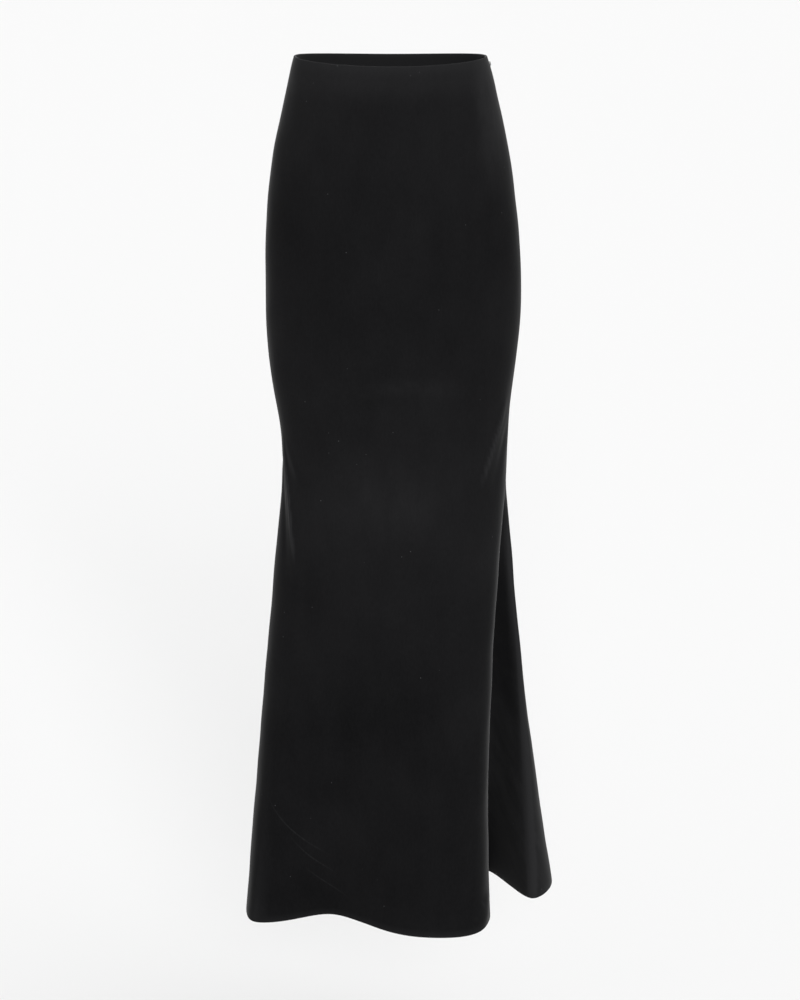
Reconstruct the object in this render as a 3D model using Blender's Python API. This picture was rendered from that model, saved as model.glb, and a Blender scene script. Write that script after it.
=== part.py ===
"""Mermaid fishtail skirt, worn shape with no wearer: fitted from waist to thigh, flared into folds below.

Metres, +Z up. The origin is the centre of the waist opening at the height of its side edges. The front faces
-Y, and the wearer's left is at +X. The skirt is cut as one front and one back, with two side seams and a
concealed zip at the top of the wearer's left side seam.
"""

import math
from collections import namedtuple

import bmesh
import bpy
import numpy as np
from mathutils import Matrix

# Driving sizes
LENGTH = 1.085  # waist edge to hem at the sides
CLOTH = 0.0016  # one layer of the heavy stretch velvet
TURNED_EDGE = 0.0010  # the more that the wall measures where an edge is turned in and pressed
WAIST_TURN = 0.030
HEM_TURN = 0.030
TURN_STEEPNESS = 3  # the turned cloth thins out over a third of its depth
SEAM_GAP = 0.0003
WAIST_DIP = 0.0055  # centre front and centre back lie this far below the side edges of the waist
WAIST_DIP_REACH = 0.15
ROWS = 28  # rings of facets from waist to hem
FRONT_COLUMNS = 30
BACK_COLUMNS = 46
COLUMN_WIDTH = 0.030  # a column of facets ends after this much hem,
COLUMN_TURN = 0.50  # or this much of a turn in radians,
COLUMN_SHARE = 0.030  # or this share of the girth, or less of all three
FINE_SHARES = 400  # places along the hem where that is measured
ROUND_STEP = 0.0004  # share of the girth, and
UP_STEP = 0.0015  # height, over which the cloth's direction is measured

# The side seams, by the share of the girth from centre front. They sit behind the hip and run down into the
# valleys of the side folds.
SeamPlace = namedtuple("SeamPlace", "name z share")
SIDE_SEAM = (
    SeamPlace("waist", 0.000, 0.290),
    SeamPlace("hip", -0.215, 0.272),
    SeamPlace("knee", -0.518, 0.250),
    SeamPlace("hem", -LENGTH, 0.246),
)

# The fitted part. Half widths to the wearer's right and left, how far the front and back stand from the axis,
# and how square the ring is, where 2 is an ellipse.
BodyRing = namedtuple("BodyRing", "name z right left front back square")
BODY = (
    BodyRing("waist edge", 0.000, 0.1222, 0.1164, 0.088, 0.088, 2.2),
    BodyRing("waist", -0.040, 0.1285, 0.1252, 0.094, 0.094, 2.2),
    BodyRing("high hip", -0.115, 0.1465, 0.1420, 0.103, 0.108, 2.25),
    BodyRing("hip", -0.190, 0.1543, 0.1523, 0.107, 0.121, 2.3),
    BodyRing("seat", -0.300, 0.1576, 0.1585, 0.106, 0.120, 2.3),
    BodyRing("thigh", -0.376, 0.1537, 0.1535, 0.104, 0.113, 2.35),
    BodyRing("low thigh", -0.414, 0.1478, 0.1464, 0.103, 0.108, 2.45),
    BodyRing("above knee", -0.438, 0.1426, 0.1432, 0.102, 0.105, 2.6),
    BodyRing("knee", -0.471, 0.1374, 0.1432, 0.101, 0.103, 2.75),
    BodyRing("below knee", -0.518, 0.1380, 0.1416, 0.101, 0.103, 2.9),
)
KNEE_Z = BODY[-1].z

# The flared part. Each row is a crest, a valley or the turn between them: its share of the girth from centre
# front round by the wearer's left, its place in plan halfway down the flare and at the hem, and how much
# higher than the side length its hem hangs.
Fold = namedtuple("Fold", "name share mid_x mid_y hem_x hem_y lift")
FOLDS = (
    Fold("centre front", 0.000, -0.004, -0.111, -0.012, -0.107, 0.000),
    Fold("front lobe start", 0.060, 0.045, -0.116, 0.035, -0.131, 0.000),
    Fold("front lobe crest", 0.110, 0.084, -0.112, 0.075, -0.133, 0.000),
    Fold("front lobe shoulder", 0.158, 0.109, -0.094, 0.106, -0.118, 0.000),
    Fold("left fold edge", 0.198, 0.122, -0.062, 0.123, -0.071, 0.000),
    Fold("left fold turn", 0.212, 0.122, -0.034, 0.123, -0.034, 0.000),
    Fold("left fold underside", 0.228, 0.115, 0.002, 0.107, 0.022, 0.002),
    Fold("left side valley", 0.244, 0.113, 0.034, 0.105, 0.080, 0.005),
    Fold("left valley rise", 0.256, 0.125, 0.044, 0.124, 0.100, 0.006),
    Fold("left lobe flank", 0.268, 0.143, 0.030, 0.149, 0.057, 0.003),
    Fold("left lobe front", 0.286, 0.162, 0.019, 0.176, 0.010, 0.000),
    Fold("left lobe crest", 0.310, 0.1685, 0.034, 0.203, 0.038, 0.001),
    Fold("left lobe back", 0.340, 0.165, 0.074, 0.206, 0.096, 0.003),
    Fold("left rear valley", 0.382, 0.142, 0.105, 0.166, 0.150, 0.003),
    Fold("left rear crest", 0.418, 0.117, 0.136, 0.147, 0.209, 0.001),
    Fold("left rear shoulder", 0.446, 0.085, 0.146, 0.108, 0.228, 0.000),
    Fold("left rear hollow", 0.477, 0.041, 0.142, 0.060, 0.197, 0.001),
    Fold("centre back crest", 0.507, -0.003, 0.153, 0.013, 0.228, -0.002),
    Fold("centre back shoulder", 0.532, -0.037, 0.153, -0.030, 0.241, -0.002),
    Fold("right rear hollow", 0.562, -0.074, 0.137, -0.080, 0.202, 0.001),
    Fold("right rear crest", 0.596, -0.106, 0.132, -0.127, 0.212, 0.002),
    Fold("right rear turn", 0.616, -0.122, 0.116, -0.150, 0.189, 0.003),
    Fold("right rear valley", 0.640, -0.132, 0.095, -0.157, 0.146, 0.004),
    Fold("right lobe back", 0.672, -0.151, 0.079, -0.185, 0.116, 0.003),
    Fold("right lobe front", 0.710, -0.154, 0.052, -0.184, 0.068, 0.003),
    Fold("right side valley", 0.748, -0.144, 0.027, -0.157, 0.039, 0.004),
    Fold("right fold turn", 0.770, -0.160, 0.003, -0.184, 0.010, 0.001),
    Fold("right fold edge", 0.792, -0.1655, -0.028, -0.1885, -0.036, 0.000),
    Fold("right fold shoulder", 0.817, -0.154, -0.062, -0.180, -0.073, 0.000),
    Fold("front right crest", 0.852, -0.125, -0.085, -0.142, -0.076, 0.000),
    Fold("front hollow", 0.905, -0.086, -0.099, -0.087, -0.048, 0.000),
    Fold("front hollow rise", 0.950, -0.047, -0.107, -0.051, -0.067, 0.000),
)
MID_SHARE = 0.5  # of the way down the flare, where the folds' mid places lie
FLARE_EASE = 0.020  # share of the flare's height over which it leaves the fitted part

# Concealed zip in the wearer's left side seam
ZIP_END = -0.205
TAPE_TOP = -0.005
ZIP_PARTED_TO = -0.020  # above this the seam stands parted for the slider
ZIP_CLOSED_FROM = -0.034  # below this the seam meets
ZIP_PARTING = 0.0008  # half the parted gap
FRONT_TAPE_COLUMNS = 2  # each tape lies along the last columns of its panel
BACK_TAPE_COLUMNS = 4
TAPE_THICKNESS = 0.0006
SLIDER_Z = -0.0125  # its place, closed
SLIDER_WIDTH = 0.0056
SLIDER_HEIGHT = 0.0090
SLIDER_THICKNESS = 0.0024
SLIDER_CLEARANCE = 0.0006
NECK_THICKNESS = 0.0010
BAIL_HEIGHT = 0.0050
BAIL_REACH = 0.0029  # out from the cloth
BAIL_WALL = 0.0009
BAIL_ROOM = 0.0018  # clear inside the bail, from its outer wall towards the cloth
PULL_BAR = 0.0009  # the bar that the bail holds; its axis is the pull's hinge
PULL_EYE_WIDTH = 0.0019
PULL_EYE_DROP = 0.0040
PULL_TOP_WIDTH = 0.0036
PULL_END_WIDTH = 0.0050
PULL_LENGTH = 0.0190
PULL_THICKNESS = 0.0008

BLACK = (0.0065, 0.0065, 0.0067, 1.0)
TAPE_BLACK = (0.010, 0.010, 0.010, 1.0)
METAL_BLACK = (0.020, 0.020, 0.021, 1.0)


def smooth_through(at, knots, values):
    """A cubic curve through the values at the knots, each column of values on its own."""
    knots, values = np.asarray(knots, float), np.asarray(values, float)
    slopes = np.gradient(values, knots, axis=0)
    place = int(np.clip(np.searchsorted(knots, at, side="right") - 1, 0, len(knots) - 2))
    step = knots[place + 1] - knots[place]
    t = (at - knots[place]) / step
    ease = t * t * (3 - 2 * t)
    return (
        (1 - ease) * values[place]
        + ease * values[place + 1]
        + step * t * (1 - t) * ((1 - t) * slopes[place] - t * slopes[place + 1])
    )


class ClosedCurve:
    """A closed curve, smooth to its curvature, through rows of values at their shares of the girth."""

    def __init__(self, shares, values):
        self.shares = np.append(shares, shares[0] + 1.0)
        self.values = np.vstack([values, values[0]])
        steps = np.diff(self.shares)
        count = len(steps)
        system = np.zeros((count, count))
        rise = np.zeros((count, self.values.shape[1]))
        for i in range(count):
            before, after = steps[i - 1], steps[i]
            system[i, i - 1] += before
            system[i, i] += 2 * (before + after)
            system[i, (i + 1) % count] += after
            here = self.values[i]
            last = self.values[i - 1] if i else self.values[count - 1]
            rise[i] = 6 * ((self.values[i + 1] - here) / after - (here - last) / before)
        bends = np.linalg.solve(system, rise)
        self.bends = np.vstack([bends, bends[0]])

    def at(self, share):
        share = (share - self.shares[0]) % 1.0 + self.shares[0]
        place = int(np.clip(np.searchsorted(self.shares, share, side="right") - 1, 0, len(self.shares) - 2))
        step = self.shares[place + 1] - self.shares[place]
        a = (self.shares[place + 1] - share) / step
        b = 1 - a
        bend = (a**3 - a) * self.bends[place] + (b**3 - b) * self.bends[place + 1]
        return a * self.values[place] + b * self.values[place + 1] + bend * step**2 / 6


FOLD_CURVE = ClosedCurve([fold.share for fold in FOLDS], np.array([fold[2:] for fold in FOLDS]))
BODY_DROPS = np.array([-ring.z for ring in BODY])
BODY_SIZES = np.array([ring[2:] for ring in BODY])
SEAM_DROPS = np.array([-place.z for place in SIDE_SEAM])
SEAM_SHARES = np.array([place.share for place in SIDE_SEAM])


def body_point(share, z):
    """The fitted part's plan at a height: a rounded oblong with its own reach to each side."""
    right, left, front, back, square = smooth_through(min(-z, -KNEE_Z), BODY_DROPS, BODY_SIZES)
    turn = 2 * math.pi * share
    across, along = math.sin(turn), -math.cos(turn)
    swell = (abs(across) ** square + abs(along) ** square) ** (-1 / square)
    x = across * swell * (left if across > 0 else right)
    y = along * swell * (back if along > 0 else front)
    return np.array([x, y])


def flare_share(z):
    """0 at the knee and 1 at the hem, leaving the fitted part softly."""
    t = max(0.0, (KNEE_Z - z) / (KNEE_Z + LENGTH))

    def eased(value):
        return value - FLARE_EASE * (1 - math.exp(-value / FLARE_EASE))

    return eased(t) / eased(1.0)


def cloth_point(share, z):
    """A point of the cloth's outer face. z is its height on a level ring, which the waist and hem then leave."""
    x, y = body_point(share, z)
    mid_x, mid_y, hem_x, hem_y, lift = FOLD_CURVE.at(share)
    s = flare_share(z)
    at_knee = (1 - s) * (1 - s / MID_SHARE)
    at_mid = s * (1 - s) / (MID_SHARE * (1 - MID_SHARE))
    at_hem = s * (s - MID_SHARE) / (1 - MID_SHARE)
    dip = WAIST_DIP * math.cos(2 * math.pi * share) ** 2 * max(0.0, 1 + z / WAIST_DIP_REACH) ** 2
    return np.array(
        [
            at_knee * x + at_mid * mid_x + at_hem * hem_x,
            at_knee * y + at_mid * mid_y + at_hem * hem_y,
            z - dip + lift * s**3,
        ]
    )


def cloth_normal(share, z):
    """Outward from the cloth."""
    round_it = cloth_point(share + ROUND_STEP, z) - cloth_point(share - ROUND_STEP, z)
    up_it = cloth_point(share, min(z + UP_STEP, 0.0)) - cloth_point(share, z - UP_STEP)
    normal = np.cross(round_it, up_it)
    return normal / np.linalg.norm(normal)


def wall_thickness(z):
    """The cloth, thicker over the turned edges at the waist and hem."""
    from_waist = np.clip(1 + z / WAIST_TURN, 0, 1)
    from_hem = np.clip(1 - (z + LENGTH) / HEM_TURN, 0, 1)
    return CLOTH + TURNED_EDGE * min(1.0, TURN_STEEPNESS * max(from_waist, from_hem))


def ring_heights():
    """Heights of the rings. The first few stand where the zip needs them."""
    top = [0.0, TAPE_TOP, ZIP_PARTED_TO, ZIP_CLOSED_FROM]
    rest = np.linspace(ZIP_CLOSED_FROM, -LENGTH, ROWS - len(top) + 2)[1:]
    return np.array(top + list(rest))


def column_fractions(start, end, count):
    """Places across a panel from 0 to 1, closer together where its hem is long or turns tightly."""
    fine = np.linspace(start, end, FINE_SHARES)
    hem = np.array([cloth_point(share, -LENGTH)[:2] for share in fine])
    runs = np.diff(hem, axis=0)
    lengths = np.linalg.norm(runs, axis=1)
    headings = np.unwrap(np.arctan2(runs[:, 1], runs[:, 0]))
    turns = np.abs(np.gradient(headings))
    wanted = lengths / COLUMN_WIDTH + turns / COLUMN_TURN + np.diff(fine) / COLUMN_SHARE
    need = np.concatenate([[0], np.cumsum(wanted)])
    return np.interp(np.linspace(0, need[-1], count + 1), need, (fine - start) / (end - start))


def moved_along(share, metres, z):
    """The share of the girth that lies this far round the cloth from another."""
    passed = cloth_point(share + ROUND_STEP, z) - cloth_point(share - ROUND_STEP, z)
    return share + metres * 2 * ROUND_STEP / np.linalg.norm(passed)


def seam_share(z):
    return float(smooth_through(-z, SEAM_DROPS, SEAM_SHARES))


def zip_parting(z):
    """Half the gap at the left side seam: parted beside and above the slider, and closed below it."""
    closed = SEAM_GAP / 2
    opened = np.clip((z - ZIP_CLOSED_FROM) / (ZIP_PARTED_TO - ZIP_CLOSED_FROM), 0.0, 1.0)
    return closed + (ZIP_PARTING - closed) * opened


def front_span(z):
    """The front panel's first and last share of the girth at a height."""
    seam = seam_share(z)
    return moved_along(-seam, SEAM_GAP / 2, z), moved_along(seam, -zip_parting(z), z)


def back_span(z):
    """The back panel's first and last share of the girth at a height."""
    seam = seam_share(z)
    return moved_along(seam, zip_parting(z), z), moved_along(1 - seam, -SEAM_GAP / 2, z)


def new_material(name, colour, roughness, metallic=0.0):
    material = bpy.data.materials.new(name)
    material.use_nodes = True
    shader = material.node_tree.nodes["Principled BSDF"]
    shader.inputs["Base Color"].default_value = colour
    shader.inputs["Roughness"].default_value = roughness
    shader.inputs["Metallic"].default_value = metallic
    return material


def object_from(name, bm, material, smooth=False):
    bmesh.ops.recalc_face_normals(bm, faces=bm.faces)
    mesh = bpy.data.meshes.new(name)
    bm.to_mesh(mesh)
    bm.free()
    mesh.materials.append(material)
    obj = bpy.data.objects.new(name, mesh)
    bpy.context.scene.collection.objects.link(obj)
    if smooth:
        mesh.shade_smooth()
        mesh.set_sharp_from_angle(angle=math.radians(60))
    return obj


def cloth_shell(name, span, fractions, heights, outer, inner, material):
    """A wall between two depths below the cloth's outer face, in columns at fractions of the span."""
    bm = bmesh.new()
    over, under = [], []
    for z in heights:
        first, last = span(z)
        shares = [first + (last - first) * fraction for fraction in fractions]
        for grid, depth in ((over, outer(z)), (under, inner(z))):
            places = [cloth_point(share, z) - depth * cloth_normal(share, z) for share in shares]
            grid.append([bm.verts.new(place) for place in places])
    last_row, last_column = len(heights) - 1, len(fractions) - 1
    for grid in (over, under):
        for j in range(last_row):
            for i in range(last_column):
                bm.faces.new((grid[j][i], grid[j][i + 1], grid[j + 1][i + 1], grid[j + 1][i]))
    rim = [(0, i) for i in range(last_column)] + [(j, last_column) for j in range(last_row)]
    rim += [(last_row, i) for i in range(last_column, 0, -1)] + [(j, 0) for j in range(last_row, 0, -1)]
    for (j, i), (k, m) in zip(rim, rim[1:] + rim[:1]):
        bm.faces.new((over[j][i], over[k][m], under[k][m], under[j][i]))
    return object_from(name, bm, material, smooth=True)


def make_panels(heights, velvet):
    def face(z):
        return 0.0

    hem_seam = SIDE_SEAM[-1].share
    front = column_fractions(-hem_seam, hem_seam, FRONT_COLUMNS)
    back = column_fractions(hem_seam, 1 - hem_seam, BACK_COLUMNS)
    cloth_shell("front_panel", front_span, front, heights, face, wall_thickness, velvet)
    cloth_shell("back_panel", back_span, back, heights, face, wall_thickness, velvet)
    return front, back


def make_zip_tapes(front, back, heights, tape):
    """A strip inside each panel, along its last columns of facets beside the zip."""
    rows = heights[(heights < TAPE_TOP + 0.001) & (heights > ZIP_END - 0.001)]

    def over(z):
        return wall_thickness(z) + SEAM_GAP

    def under(z):
        return over(z) + TAPE_THICKNESS

    cloth_shell("zip_tape_front", front_span, front[-FRONT_TAPE_COLUMNS - 1 :], rows, over, under, tape)
    cloth_shell("zip_tape_back", back_span, back[: BACK_TAPE_COLUMNS + 1], rows, over, under, tape)


def zip_frame():
    """The slider's place on the cloth and its directions across the seam, up the seam and out."""
    seam = seam_share(SLIDER_Z)
    place = cloth_point(seam, SLIDER_Z)
    up = cloth_point(seam_share(TAPE_TOP), TAPE_TOP) - cloth_point(seam_share(ZIP_PARTED_TO), ZIP_PARTED_TO)
    up /= np.linalg.norm(up)
    across = np.cross(up, cloth_normal(seam, SLIDER_Z))
    across /= np.linalg.norm(across)
    return place, across, up, np.cross(across, up)


def plate(name, outline, low, high, material):
    """A closed outline across and up the seam, given thickness outwards from low to high."""
    origin, across, up, out = zip_frame()
    bm = bmesh.new()
    layers = []
    for reach in (low, high):
        layers.append([bm.verts.new(origin + u * across + v * up + reach * out) for u, v in outline])
    near, far = layers
    bm.faces.new(reversed(near))
    bm.faces.new(far)
    count = len(outline)
    for i in range(count):
        k = (i + 1) % count
        bm.faces.new((near[i], near[k], far[k], far[i]))
    return object_from(name, bm, material)


def block(name, half_width, bottom, top, low, high, material):
    outline = [(-half_width, bottom), (half_width, bottom), (half_width, top), (-half_width, top)]
    return plate(name, outline, low, high, material)


def boolean(target, other, operation):
    modifier = target.modifiers.new(operation.title(), "BOOLEAN")
    modifier.operation = operation
    modifier.object = other
    other.hide_render = True
    other.display_type = "WIRE"


def make_zip_slider(metal):
    """The slider behind the tapes, with a neck out through the parted seam and a bail that holds the pull."""
    behind = -wall_thickness(SLIDER_Z) - SEAM_GAP - TAPE_THICKNESS - SLIDER_CLEARANCE
    half_height, half_bail = SLIDER_HEIGHT / 2, BAIL_HEIGHT / 2
    inside = behind - SLIDER_THICKNESS
    body = block("zip_slider", SLIDER_WIDTH / 2, -half_height, half_height, inside, behind, metal)
    middle = behind - SLIDER_THICKNESS / 2
    neck = block("zip_slider_neck", NECK_THICKNESS / 2, -half_bail, half_bail, middle, BAIL_REACH, metal)
    opening = half_bail - BAIL_WALL
    outer = BAIL_REACH - BAIL_WALL
    window = block("zip_slider_window", NECK_THICKNESS, -opening, opening, outer - BAIL_ROOM, outer, metal)
    boolean(neck, window, "DIFFERENCE")
    boolean(body, neck, "UNION")


def make_zip_pull(metal):
    """A flat teardrop hung from the bail by a bar on the hinge's axis, lying along the cloth below it."""
    hinge_reach = BAIL_REACH - BAIL_WALL - BAIL_ROOM / 2
    low, high = hinge_reach - PULL_THICKNESS / 2, hinge_reach + PULL_THICKNESS / 2
    half_top, half_end = PULL_TOP_WIDTH / 2, PULL_END_WIDTH / 2
    top = PULL_BAR / 2
    round_centre = top - PULL_LENGTH + half_end
    arc = [math.radians(angle) for angle in range(0, -181, -20)]
    outline = [(-half_top, top), (half_top, top)]
    outline += [(half_end * math.cos(a), round_centre + half_end * math.sin(a)) for a in arc]
    pull = plate("zip_pull", outline[::-1], low, high, metal)
    half_eye = PULL_EYE_WIDTH / 2
    eye = block("zip_pull_eye", half_eye, -PULL_EYE_DROP, -top, low - 0.001, high + 0.001, metal)
    boolean(pull, eye, "DIFFERENCE")
    hinge = bpy.data.objects.new("zip_pull_hinge", None)
    bpy.context.scene.collection.objects.link(hinge)
    place, _, _, out = zip_frame()
    hinge.location = place + hinge_reach * out
    for obj in (pull, eye):
        obj.data.transform(Matrix.Translation(-hinge.location))
        obj.parent = hinge


def main():
    for obj in list(bpy.data.objects):
        bpy.data.objects.remove(obj)
    velvet = new_material("black_velvet", BLACK, 0.9)
    tape = new_material("black_tape", TAPE_BLACK, 0.8)
    metal = new_material("black_lacquered_metal", METAL_BLACK, 0.35)
    heights = ring_heights()
    front, back = make_panels(heights, velvet)
    make_zip_tapes(front, back, heights, tape)
    make_zip_slider(metal)
    make_zip_pull(metal)


main()
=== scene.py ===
"""The looks of a black velvet fishtail skirt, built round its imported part.

Each panel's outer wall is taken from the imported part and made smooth. Its creases are laid on, its edges are turned
in and its cloth is given a thickness. The zip's tapes and coil are made along the side seam.
"""

import math
from collections import Counter, namedtuple

import bpy
import numpy as np
from bpy.props import FloatProperty, FloatVectorProperty, PointerProperty
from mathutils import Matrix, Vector


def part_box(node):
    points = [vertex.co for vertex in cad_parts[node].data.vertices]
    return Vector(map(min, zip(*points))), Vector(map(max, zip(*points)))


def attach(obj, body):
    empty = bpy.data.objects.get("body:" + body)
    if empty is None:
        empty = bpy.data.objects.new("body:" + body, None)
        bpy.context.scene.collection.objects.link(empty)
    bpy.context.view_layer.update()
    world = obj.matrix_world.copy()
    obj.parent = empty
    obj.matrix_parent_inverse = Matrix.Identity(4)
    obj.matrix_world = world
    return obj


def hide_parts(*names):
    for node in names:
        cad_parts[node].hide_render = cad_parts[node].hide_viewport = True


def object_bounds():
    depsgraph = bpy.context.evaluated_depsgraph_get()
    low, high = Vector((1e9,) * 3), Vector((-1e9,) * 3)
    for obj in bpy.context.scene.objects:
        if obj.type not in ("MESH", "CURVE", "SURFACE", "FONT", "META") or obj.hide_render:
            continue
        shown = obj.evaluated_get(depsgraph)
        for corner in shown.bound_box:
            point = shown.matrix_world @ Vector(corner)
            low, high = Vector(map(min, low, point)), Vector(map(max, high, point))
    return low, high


bl_info = {
    "name": "Velvet fishtail skirt",
    "version": (1, 0, 0),
    "blender": (4, 5, 0),
    "location": "3D View > Sidebar > Skirt",
    "description": "Builds the visible pieces of a velvet fishtail skirt",
    "category": "Object",
}

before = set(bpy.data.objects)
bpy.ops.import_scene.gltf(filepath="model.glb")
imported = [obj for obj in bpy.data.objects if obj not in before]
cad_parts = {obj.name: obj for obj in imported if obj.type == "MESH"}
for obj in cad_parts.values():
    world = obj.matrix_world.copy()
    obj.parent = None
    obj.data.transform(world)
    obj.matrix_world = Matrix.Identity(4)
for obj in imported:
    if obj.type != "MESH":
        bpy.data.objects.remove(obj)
CAD_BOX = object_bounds()
BODY, PULL_BODY = "skirt", "pull"
TAPE_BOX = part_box("zip_tape_back")
RIM_TURN = math.radians(56)
ROLL_WIDTH = 0.0013
SHEEN = 0.17
WAIST_REACH = 0.035
BEND = "bend"
# Bends between these curvatures, in turns per metre, grow from no painted highlight on the velvet to the full one
SOFT_BEND, SHARP_BEND = 22.0, 130.0
WELD = 1e-5
ROUNDINGS = 2

# How the cloth is drawn over its edges and seams
ROLL_ROOM = 0.0001
FOLD_ANGLES = range(0, 181, 30)
TURNED_GAP = 0.003
SEAM_COLUMNS = (0.3, 0.62)
CREASE_POINTS = 25
CREASE_FADE = 0.3

# The strips inside the seams: how far under the cloth's face each lies, and its thickness
STRIP_START, STRIP_COLUMNS = 0.0002, 6
ALLOWANCE_GAP, ALLOWANCE_THICKNESS = 0.00015, 0.0008
ALLOWANCE_TOP, ALLOWANCE_FOOT = -0.004, 0.001
TAPE_DEPTH, TAPE_THICKNESS, TAPE_OVERLAP = 0.0019, 0.0006, 0.0005
TURNED_TAPE_DEPTH, TURNED_TAPE_REACH, TURNED_TAPE_FADE = 0.0010, 0.026, 0.010

# The zip's coil: its reach from the seam, and its half width, half height and the radius of its wire
COIL_REACH, COIL_COLUMN, COIL_DEPTH = 0.0016, 3, 0.0012
COIL_HALF_WIDTH, COIL_HALF_HEIGHT, COIL_WIRE, COIL_POINTS = 0.00085, 0.00045, 0.0002, 8

# A crease laid on the cloth from one place to another by way of a third, each given by its x and height: how wide
# it is, and how far it rises. A trough's rise is less than nothing.
Crease = namedtuple("Crease", "name x1 z1 x2 z2 x3 z3 width rise")
FRONT_CREASES = (
    Crease("right thigh pull", -0.1370, -0.452, -0.1270, -0.520, -0.1215, -0.630, 0.0042, 0.0026),
    Crease("right thigh hollow", -0.1395, -0.470, -0.1345, -0.545, -0.1330, -0.650, 0.0080, -0.0020),
    Crease("right thigh, short pull", -0.1335, -0.462, -0.1270, -0.490, -0.1150, -0.520, 0.0060, 0.0012),
    Crease("left thigh pull", 0.1415, -0.410, 0.1270, -0.460, 0.1040, -0.530, 0.0055, 0.0022),
    Crease("left thigh hollow", 0.1435, -0.440, 0.1360, -0.480, 0.1180, -0.550, 0.0090, -0.0018),
    Crease("drag over the thigh", -0.066, -0.414, 0.003, -0.390, 0.076, -0.372, 0.0110, 0.0017),
    Crease("drag under it", -0.080, -0.436, -0.010, -0.414, 0.060, -0.396, 0.0150, -0.0014),
    Crease("drag to the left knee", 0.010, -0.441, 0.060, -0.420, 0.110, -0.394, 0.0100, 0.0009),
    Crease("knee hollow", -0.100, -0.478, 0.010, -0.486, 0.100, -0.478, 0.0420, -0.0046),
    Crease("knee swell", -0.090, -0.600, 0.010, -0.606, 0.090, -0.600, 0.0450, 0.0030),
    Crease("first flute", -0.045, -0.600, -0.060, -0.780, -0.075, -1.050, 0.0240, -0.0022),
    Crease("second flute", 0.030, -0.660, 0.018, -0.820, 0.010, -1.070, 0.0300, 0.0018),
    Crease("third flute", 0.080, -0.590, 0.092, -0.740, 0.093, -0.950, 0.0160, -0.0013),
    Crease("hem dent", -0.120, -1.000, -0.100, -1.040, -0.060, -1.078, 0.0100, -0.0012),
    Crease("fold kick", 0.116, -1.040, 0.117, -1.062, 0.118, -1.082, 0.0160, 0.0022),
    Crease("hip ease", -0.100, -0.150, -0.112, -0.205, -0.118, -0.260, 0.0200, -0.0009),
    Crease("waist ease", 0.098, -0.030, 0.106, -0.070, 0.114, -0.118, 0.0090, 0.0012),
    Crease("second waist ease", 0.104, -0.060, 0.113, -0.100, 0.122, -0.150, 0.0070, -0.0008),
    Crease("belly", -0.060, -0.062, 0.000, -0.070, 0.060, -0.062, 0.0300, 0.0020),
)
BACK_CREASES = (
    Crease("left seat drag", 0.100, -0.350, 0.060, -0.385, 0.015, -0.405, 0.0140, 0.0016),
    Crease("right seat drag", -0.095, -0.360, -0.050, -0.388, -0.010, -0.402, 0.0130, 0.0013),
    Crease("behind the knee", 0.070, -0.462, 0.005, -0.480, -0.060, -0.468, 0.0110, 0.0015),
    Crease("knee hollow", 0.085, -0.492, 0.000, -0.505, -0.080, -0.496, 0.0220, -0.0024),
    Crease("lower knee drag", 0.040, -0.525, -0.020, -0.530, -0.075, -0.515, 0.0120, 0.0009),
    Crease("right lobe ease", -0.160, -0.700, -0.182, -0.900, -0.190, -1.250, 0.0320, -0.0034),
    Crease("small of the back", 0.045, -0.050, 0.000, -0.062, -0.050, -0.048, 0.0160, 0.0010),
    Crease("left rear flute", 0.060, -0.570, 0.075, -0.700, 0.088, -0.880, 0.0180, 0.0022),
    Crease("right rear flute", -0.050, -0.560, -0.066, -0.690, -0.078, -0.870, 0.0190, 0.0020),
)

# Painted light: how much lighter the velvet's colour is made at each distance down from the waist's edge, from 0 for
# its dark colour to 1 for its light one, standing in for the glow of light under the waist's edge and on the knee
Band = namedtuple("Band", "name down lean")
PAINTED_LIGHT_BANDS = (
    Band("waist edge", 0.0, 0.70),
    Band("under the edge", 0.018, 0.50),
    Band("belly", 0.055, 0.25),
    Band("hip", 0.200, 0.16),
    Band("thigh", 0.380, 0.18),
    Band("over the knee", 0.440, 0.24),
    Band("knee", 0.500, 0.29),
    Band("under the knee", 0.580, 0.29),
    Band("top of the flare", 0.700, 0.17),
    Band("flare", 0.860, 0.08),
    Band("hem", 1.085, 0.08),
)

# Painted light: patches where the velvet's colour is made lighter, as painted light on the waist's sides, painted
# highlights on the knee and thigh, and painted fill light in the shaded side valleys: the middle of each patch across
# and down the panel, its size, and how much lighter it is made
Patch = namedtuple("Patch", "name across down width height lean")
PAINTED_LIGHT_PATCHES = (
    Patch("left of the waist", 0.142, 0.050, 0.050, 0.125, 1.1),
    Patch("right of the waist", -0.155, 0.040, 0.035, 0.070, 0.8),
    Patch("side valleys", -0.370, 0.880, 0.150, 0.420, 1.5),
    Patch("knee", 0.010, 0.540, 0.120, 0.060, 0.25),
    Patch("thigh", 0.020, 0.395, 0.080, 0.020, 0.25),
)

# Lines pressed into the pile: arcs round a point, of a radius, fading out this far from their middle
Mark = namedtuple("Mark", "name across down radius middle reach")
PRESSED = (
    Mark("long line over the hem", 0.020, 0.820, 0.2130, (-0.135, 0.965), 0.075),
    Mark("short line over the hem", 0.010, 0.880, 0.1760, (-0.115, 1.005), 0.050),
    Mark("line at the hem", -0.020, 0.940, 0.1300, (-0.100, 1.042), 0.045),
)

MARK_HALF_WIDTH, MARK_LEAN = 0.0008, 0.7

# The long soft waves of hanging cloth: the length of each and the way it runs, in radians from straight across
Wave = namedtuple("Wave", "length lean")
SLACK_WAVES = (Wave(0.19, 0.4), Wave(0.13, -0.7), Wave(0.083, 0.9), Wave(0.061, -1.2), Wave(0.043, 0.5))
SLACK_STARTS = 0.03

# A metal piece of the zip: its node, name, body and the width of its rounded edges
Casting = namedtuple("Casting", "node name body edge")
CASTINGS = (
    Casting("zip_slider", "lacquered_slider", BODY, 0.00022),
    Casting("zip_pull", "lacquered_pull", PULL_BODY, 0.00018),
)

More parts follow.
